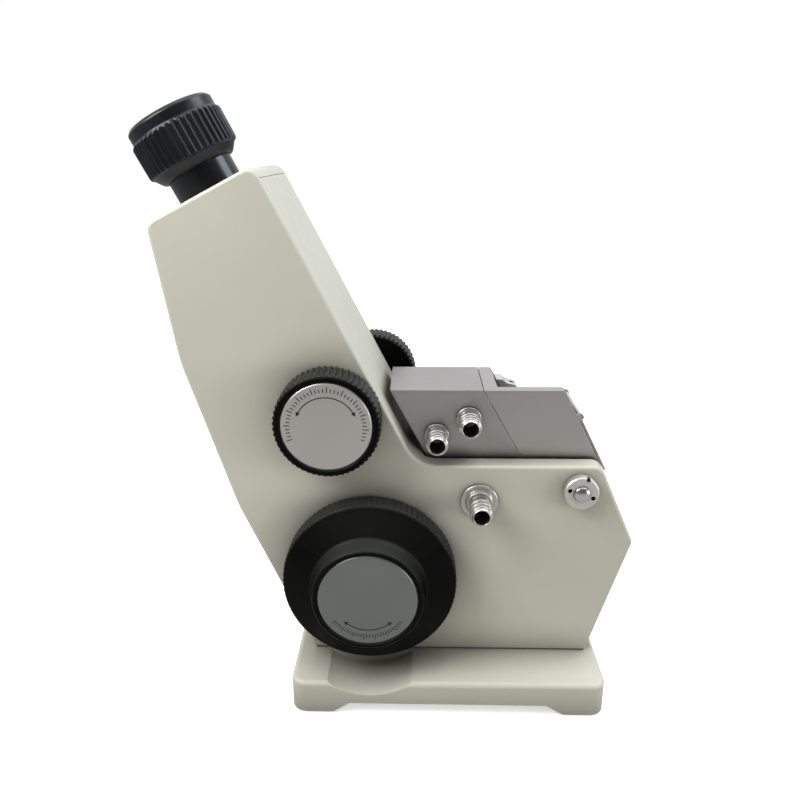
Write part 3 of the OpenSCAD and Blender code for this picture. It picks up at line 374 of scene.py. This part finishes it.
def softened(points, radius, steps=3):
    """A turning profile with every corner off the axis rounded."""
    out = []
    n = len(points)
    for i, (r, z) in enumerate(points):
        before, after = Vector(points[i - 1]), Vector(points[(i + 1) % n])
        p = Vector((r, z))
        if r == 0:
            out.append(p)
            continue
        a, b = before - p, after - p
        cut = min(radius, 0.42 * a.length, 0.42 * b.length)
        a, b = p + a.normalized() * cut, p + b.normalized() * cut
        for k in range(steps + 1):
            t = k / steps
            out.append((1 - t) ** 2 * a + 2 * t * (1 - t) * p + t * t * b)
    return out


def lathe(name, node, profile, matrix, segments=128, soft=0.3, grip=None, replaced=True, material=None):
    """Turns a closed profile of (radius, height) in mm. grip = (count, depth, low, high) cuts scallops."""
    points = softened(profile, soft)
    widest = max(p.x for p in points)
    bm = bmesh.new()
    rings = []
    for p in points:
        if p.x < 1e-9:
            rings.append([bm.verts.new(matrix @ Vector((0, 0, p.y * MM)))])
            continue
        ring = []
        for i in range(segments):
            a = 2 * pi * i / segments
            r = p.x
            if grip and grip[2] <= p.y <= grip[3]:
                r = min(r, widest - grip[1] * cos(grip[0] * a / 2) ** 2)
            ring.append(bm.verts.new(matrix @ Vector((r * cos(a) * MM, r * sin(a) * MM, p.y * MM))))
        rings.append(ring)
    for k, ring in enumerate(rings):
        other = rings[(k + 1) % len(rings)]
        if len(ring) == len(other) == 1:
            continue
        for i in range(segments):
            j = (i + 1) % segments
            if len(ring) == 1:
                bm.faces.new((ring[0], other[j], other[i]))
            elif len(other) == 1:
                bm.faces.new((ring[i], ring[j], other[0]))
            else:
                bm.faces.new((ring[i], ring[j], other[j], other[i]))
    bmesh.ops.recalc_face_normals(bm, faces=bm.faces)
    mesh = bpy.data.meshes.new(name)
    bm.to_mesh(mesh)
    bm.free()
    smooth(mesh, 50)
    piece = add(name, mesh, node, [node] if replaced else None, material)
    even_normals(piece)
    return piece


def slab_marks(name, node, outlines, matrix, low, high):
    """Thin printed marks: each outline (mm, counter-clockwise) becomes a closed plate between two heights."""
    bm = bmesh.new()
    for outline in outlines:
        bottom = [bm.verts.new(matrix @ Vector((x * MM, y * MM, low * MM))) for x, y in outline]
        top = [bm.verts.new(matrix @ Vector((x * MM, y * MM, high * MM))) for x, y in outline]
        n = len(outline)
        bm.faces.new(top)
        bm.faces.new(bottom[::-1])
        for i in range(n):
            bm.faces.new((bottom[i], bottom[(i + 1) % n], top[(i + 1) % n], top[i]))
    bmesh.ops.recalc_face_normals(bm, faces=bm.faces)
    mesh = bpy.data.meshes.new(name)
    bm.to_mesh(mesh)
    bm.free()
    return add(name, mesh, node, None, PRINT)


# ---------- control knobs ----------

SHAFT_R = 3.0
KNOB_BACK = 28.4
ADJUST_R, ADJUST_BOSS_R, ADJUST_CAP_R, ADJUST_FACE = 35.2, 22.0, 19.7, 50.0
KNOB_R, KNOB_CAP_R, KNOB_FACE = 20.4, 17.2, 41.5


def adjustment_knob():
    profile = [
        (SHAFT_R, KNOB_BACK + 0.1), (34.0, KNOB_BACK + 0.1), (ADJUST_R, 29.3), (ADJUST_R, 37.3), (34.5, 38.1),
        (33.2, 38.6), (23.6, 42.7), (22.7, 44.2), (ADJUST_BOSS_R, 49.3), (21.3, ADJUST_FACE),
        (20.3, ADJUST_FACE), (ADJUST_CAP_R + 0.15, 49.6), (ADJUST_CAP_R + 0.05, 48.5), (SHAFT_R, 48.5),
    ]
    lathe("adjustment_knob_turned", "adjustment_knob", profile, near_frame("adjustment_knob"), 720, 0.5,
          (90, 0.5, 29.0, 37.4))


def knob_cap(node, radius, face, material=None):
    back, front = face - 1.45, face - 0.1
    profile = [(0, back), (radius, back), (radius, face - 0.5), (radius - 0.5, front), (0, front)]
    lathe(node + "_turned", node, profile, near_frame(node), 160, 0.2, material=material)


def hand_knob(node, radius, matrix, cap_radius, dish=0.0):
    floor = KNOB_FACE - 1.5 - dish
    profile = [
        (SHAFT_R, KNOB_BACK), (radius - 1.6, KNOB_BACK), (radius, KNOB_BACK + 0.9), (radius, KNOB_FACE - 1.3),
        (radius - 0.8, KNOB_FACE - 0.4), (radius - 1.8, KNOB_FACE), (cap_radius + 0.6, KNOB_FACE),
        (cap_radius + 0.1, KNOB_FACE - 0.4), (cap_radius - 1.5 * dish, floor), (SHAFT_R, floor),
    ]
    lathe(node + "_turned", node, profile, matrix, 448, 0.35,
          (56, 0.8, KNOB_BACK + 0.4, KNOB_FACE - 0.6))


def tick_ring(radius, start, end, count, long_every=4, size=(1.5, 2.3), width=0.34):
    """Radial ticks between two angles in degrees, every few of them longer."""
    out = []
    for i in range(count):
        a = radians(start + (end - start) * i / (count - 1))
        length = size[1] if i % long_every == 0 else size[0]
        u, v = Vector((cos(a), sin(a))), Vector((-sin(a), cos(a)))
        corners = ((radius, -1), (radius + length, -1), (radius + length, 1), (radius, 1))
        out.append([tuple(u * r + v * s * width / 2) for r, s in corners])
    return out


def arc_arrow(radius, start, end, width=0.4, head=1.7):
    """A thin arc line with an arrow head at each end."""
    steps = 40
    outlines = []
    for i in range(steps):
        a, b = (radians(start + (end - start) * k / steps) for k in (i, i + 1))
        inner, outer = radius - width / 2, radius + width / 2
        corners = ((a, inner), (a, outer), (b, outer), (b, inner))
        outlines.append([(r * cos(t), r * sin(t)) for t, r in corners])
    for at, way in ((start, -1), (end, 1)):
        a = radians(at)
        u, v = Vector((cos(a), sin(a))), Vector((-sin(a), cos(a))) * way * (1 if end > start else -1)
        outlines.append([tuple(u * (radius - 0.9)), tuple(u * (radius + 0.9)), tuple(u * radius + v * head)])
    return outlines


adjustment_knob()
knob_cap("adjustment_cap", ADJUST_CAP_R, ADJUST_FACE, ADJUST_CAP)
hand_knob("dispersion_knob", KNOB_R, near_frame("dispersion_knob"), KNOB_CAP_R)
knob_cap("dispersion_cap", KNOB_CAP_R, KNOB_FACE)
hand_knob("dial_knob", KNOB_R - 1, far_frame("dial_knob"), 14.0, 1.0)
slab_marks("adjustment_cap_marks", "adjustment_cap",
           tick_ring(15.2, 216, 324, 28) + arc_arrow(13.2, 232, 308), near_frame("adjustment_cap"),
           ADJUST_FACE - 0.15, ADJUST_FACE - 0.06)
slab_marks("dispersion_cap_marks", "dispersion_cap",
           tick_ring(13.6, 200, -20, 40) + arc_arrow(11.7, 150, 30), near_frame("dispersion_cap"),
           KNOB_FACE - 0.15, KNOB_FACE - 0.06)


# ---------- eyepiece ----------

def eyepiece():
    foot, ring_low, ring_high, top = 9.8, 13.4, 27.0, 32.3
    rib_r, collar_r = 18.4, 17.3
    profile = [
        (13.05, foot), (14.4, foot), (15.4, foot + 1.0),
        (rib_r - 1.2, ring_low - 0.2), (rib_r - 0.3, ring_low + 0.2),
        (rib_r, ring_low + 1.0), (rib_r, ring_high - 1.0), (collar_r, ring_high + 0.2),
        (collar_r, top - 1.3), (collar_r - 1.3, top), (14.6, top), (13.6, top - 0.6),
        (8.4, 24.2), (8.4, 20.2), (13.05, 20.2),
    ]
    lathe("dioptre_ring_turned", "dioptre_ring", profile, SCOPE, 44 * 10, 0.45,
          (44, 0.8, ring_low, ring_high + 0.2), material=EYEPIECE)
    lathe("eyepiece_tube_turned", "eyepiece_tube",
          [(11, -26), (13, -26), (13, 17.4), (12.8, 17.6), (11.2, 17.6), (11, 17.4)], SCOPE, 128, 0.1)
    cell = [(9, 6), (10.95, 6), (10.95, 22.5), (9.3, 22.5), (9, 22.0)]
    lathe("eye_lens_cell_turned", "eye_lens_cell", cell, SCOPE, 96, 0.2)


eyepiece()


# ---------- nozzles and bearings ----------

NOZZLE_R, NECK_R, BORE_R = 4.4, 3.8, 3.0
LAND, GROOVE = 1.9, 0.9


def side_of(node):
    low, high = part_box(node)
    return -1 if low.y + high.y < 0 else 1


def nozzle(node, stub_r, stub, foot, length):
    """A ribbed hose nozzle with rounded lands; its root is where the wall starts."""
    low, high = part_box(node)
    side = side_of(node)
    tip = low.y if side < 0 else high.y
    base = near_frame(node) if side < 0 else far_frame(node)
    matrix = base @ Matrix.Translation((0, 0, abs(tip) - length * MM))
    first = length - 1.2 - 3 * LAND - 2 * GROOVE
    profile = [(1.6, -stub), (stub_r, -stub), (stub_r, 0)] + foot + [(NECK_R, foot[-1][1])]
    for i in range(3):
        z = first + i * (LAND + GROOVE)
        profile += [
            (NECK_R, z), (NOZZLE_R - 0.15, z + 0.1), (NOZZLE_R, z + LAND * 0.35),
            (NOZZLE_R, z + LAND * 0.65), (NOZZLE_R - 0.15, z + LAND - 0.1), (NECK_R, z + LAND),
        ]
    profile += [
        (NECK_R - 0.1, length - 0.5), (NECK_R - 0.45, length), (BORE_R + 0.15, length),
        (BORE_R, length - 0.3), (BORE_R, 1.5), (1.6, 0.6),
    ]
    lathe(node + "_turned", node, profile, matrix, 96, 0.2)


SEAT_FOOT = [(4.8, 0), (5.0, 0.2), (5.0, 1.2), (4.8, 1.4)]
BODY_FOOT = [(7.3, 0), (7.5, 0.3), (7.5, 1.3), (7.2, 1.6), (5.5, 1.6), (5.3, 1.9), (5.3, 3.3), (5.0, 3.6)]
for node in ("seat_nozzle_low", "seat_nozzle_high"):
    nozzle(node, 2.49, 3.4, SEAT_FOOT, 13.0)
for node in ("body_nozzle_near", "body_nozzle_far"):
    nozzle(node, 2.99, 5.0, BODY_FOOT, 15.0)

ROUNDED = {
    "base": 0.5, "shell": 0.45, "front_cover": 0.35, "refracting_prism_seat": 0.5,
    "inlet_prism_seat": 0.5, "light_shield": 0.3, "catch_bracket": 0.25, "lock_handwheel": 0.25,
    "reflector": 0.3, "scale_mirror_flap": 0.3, "hinge_bearing_near": 0.18, "hinge_bearing_far": 0.18,
    "thermometer_socket": 0.25, "condenser_bezel": 0.3, "hinge_shaft": 0.12, "base_screws": 0.2,
}
OWN_AND_LIT_FINISH = {
    "hinge_bearing_near": PALE_NICKEL_AND_SHIELD_HIGHLIGHT, "hinge_bearing_far": PALE_NICKEL_AND_SHIELD_HIGHLIGHT, "catch_bracket": PALE_NICKEL_AND_SHIELD_HIGHLIGHT,
    # Painted light: the light shield's pale nickel is a painted highlight, and the hinged seat's lighter nickel is
    # a lit copy of the seat plating.
    "light_shield": PALE_NICKEL_AND_SHIELD_HIGHLIGHT, "inlet_prism_seat": HINGED_SEAT_LIT_NICKEL,
}
for node, bevel in ROUNDED.items():
    machined(node, bevel, material=OWN_AND_LIT_FINISH.get(node))
for node, piece in frame["nodes"].items():
    piece.data.materials.clear()
    piece.data.materials.append(FINISH[SLOT_OF[node]])


# ---------- studio ----------

base_middle = middle("base")
origin = Vector((base_middle.x, base_middle.y, 0))
FLOOR_R = 8.0


def studio_floor():
    """A pale round sheet under the object. It looks brighter than the light it throws back."""
    bm = bmesh.new()
    bmesh.ops.create_circle(bm, cap_ends=True, radius=FLOOR_R, segments=96)
    mesh = bpy.data.meshes.new("studio_floor")
    bm.to_mesh(mesh)
    bm.free()
    n = Nodes("studio_paper")
    seen = n.tree.nodes.new("ShaderNodeLightPath").outputs["Is Camera Ray"]
    pale = varied(n, (0.90, 0.90, 0.90), 0.01, 3.0)
    n.set(Base_Color=n.mix(seen, (0.42, 0.415, 0.39), pale), Specular_IOR_Level=0.2)
    n.set(Roughness=n.remap(n.noise(40.0), 0.75, 0.9), Emission_Color=(1, 1, 1, 1))
    n.set(Emission_Strength=n.math("MULTIPLY", seen, 0.6))
    mesh.materials.append(n.material)
    floor = bpy.data.objects.new("studio_floor", mesh)
    floor.location = origin
    bpy.context.scene.collection.objects.link(floor)


def area_light(name, place, target, size, watts, color=(1, 1, 1)):
    data = bpy.data.lights.new(name, "AREA")
    data.shape = "RECTANGLE"
    data.size, data.size_y = size
    data.energy = watts
    data.color = color
    lamp = bpy.data.objects.new(name, data)
    lamp.location = origin + Vector(place)
    lamp.rotation_mode = "QUATERNION"
    lamp.rotation_quaternion = (Vector(target) - Vector(place)).to_track_quat("-Z", "Y")
    bpy.context.scene.collection.objects.link(lamp)


def sky():
    """White to the eye; to the object, bright above and behind it and dim in front."""
    world = bpy.data.worlds.new("studio_sky")
    bpy.context.scene.world = world
    world.use_nodes = True
    tree = world.node_tree
    background = tree.nodes["Background"]
    coord = tree.nodes.new("ShaderNodeTexCoord")
    toward = tree.nodes.new("ShaderNodeVectorMath")
    toward.operation = "DOT_PRODUCT"
    toward.inputs[1].default_value = (-0.12, 0.5, 0.38)
    shift = tree.nodes.new("ShaderNodeMath")
    shift.inputs[1].default_value = 0.3
    ramp = tree.nodes.new("ShaderNodeValToRGB")
    tree.links.new(coord.outputs["Generated"], toward.inputs[0])
    tree.links.new(toward.outputs["Value"], shift.inputs[0])
    tree.links.new(shift.outputs["Value"], ramp.inputs["Fac"])
    ramp.color_ramp.elements[0].position = 0.0
    ramp.color_ramp.elements[0].color = (0.10, 0.098, 0.09, 1)
    ramp.color_ramp.elements[1].position = 0.9
    ramp.color_ramp.elements[1].color = (0.80, 0.81, 0.82, 1)
    light_path = tree.nodes.new("ShaderNodeLightPath")
    mix = tree.nodes.new("ShaderNodeMix")
    mix.data_type = "RGBA"
    tree.links.new(light_path.outputs["Is Camera Ray"], mix.inputs["Factor"])
    tree.links.new(ramp.outputs["Color"], mix.inputs["A"])
    mix.inputs["B"].default_value = (1, 1, 1, 1)
    tree.links.new(mix.outputs["Result"], background.inputs["Color"])


def camera():
    """The view of the reference: slightly from above, almost square on to the near side."""
    eye = Vector((-0.0127, -0.2959, 0.2203))
    forward = Vector((-0.0241, 0.9459, -0.3234)).normalized()
    up = Vector((-0.0045, 0.3234, 0.9462))
    right = forward.cross(up).normalized()
    up = right.cross(forward)
    data = bpy.data.cameras.new("view")
    data.sensor_width = 36.0
    data.lens = 33.3
    data.clip_start, data.clip_end = 0.01, 20.0
    view = bpy.data.objects.new("view", data)
    view.rotation_mode = "QUATERNION"
    view.matrix_world = placed(right, up, -forward, origin + eye)
    bpy.context.scene.collection.objects.link(view)
    bpy.context.scene.camera = view


studio_floor()
sky()
area_light("key", (-0.36, -0.20, 0.46), (-0.06, 0, 0.14), (0.3, 0.3), 2.3)
area_light("side", (1.1, -0.52, 0.07), (-0.03, 0, 0.12), (0.6, 0.6), 8.0)
area_light("top", (0.1, 0.10, 0.9), (0, 0, 0.1), (0.8, 0.8), 2.6)
area_light("slope", (0.45, 0.1, 0.62), (-0.05, 0, 0.18), (0.35, 0.35), 1.7, (0.86, 0.98, 1.12))
camera()
bpy.context.scene.view_settings.view_transform = "Standard"
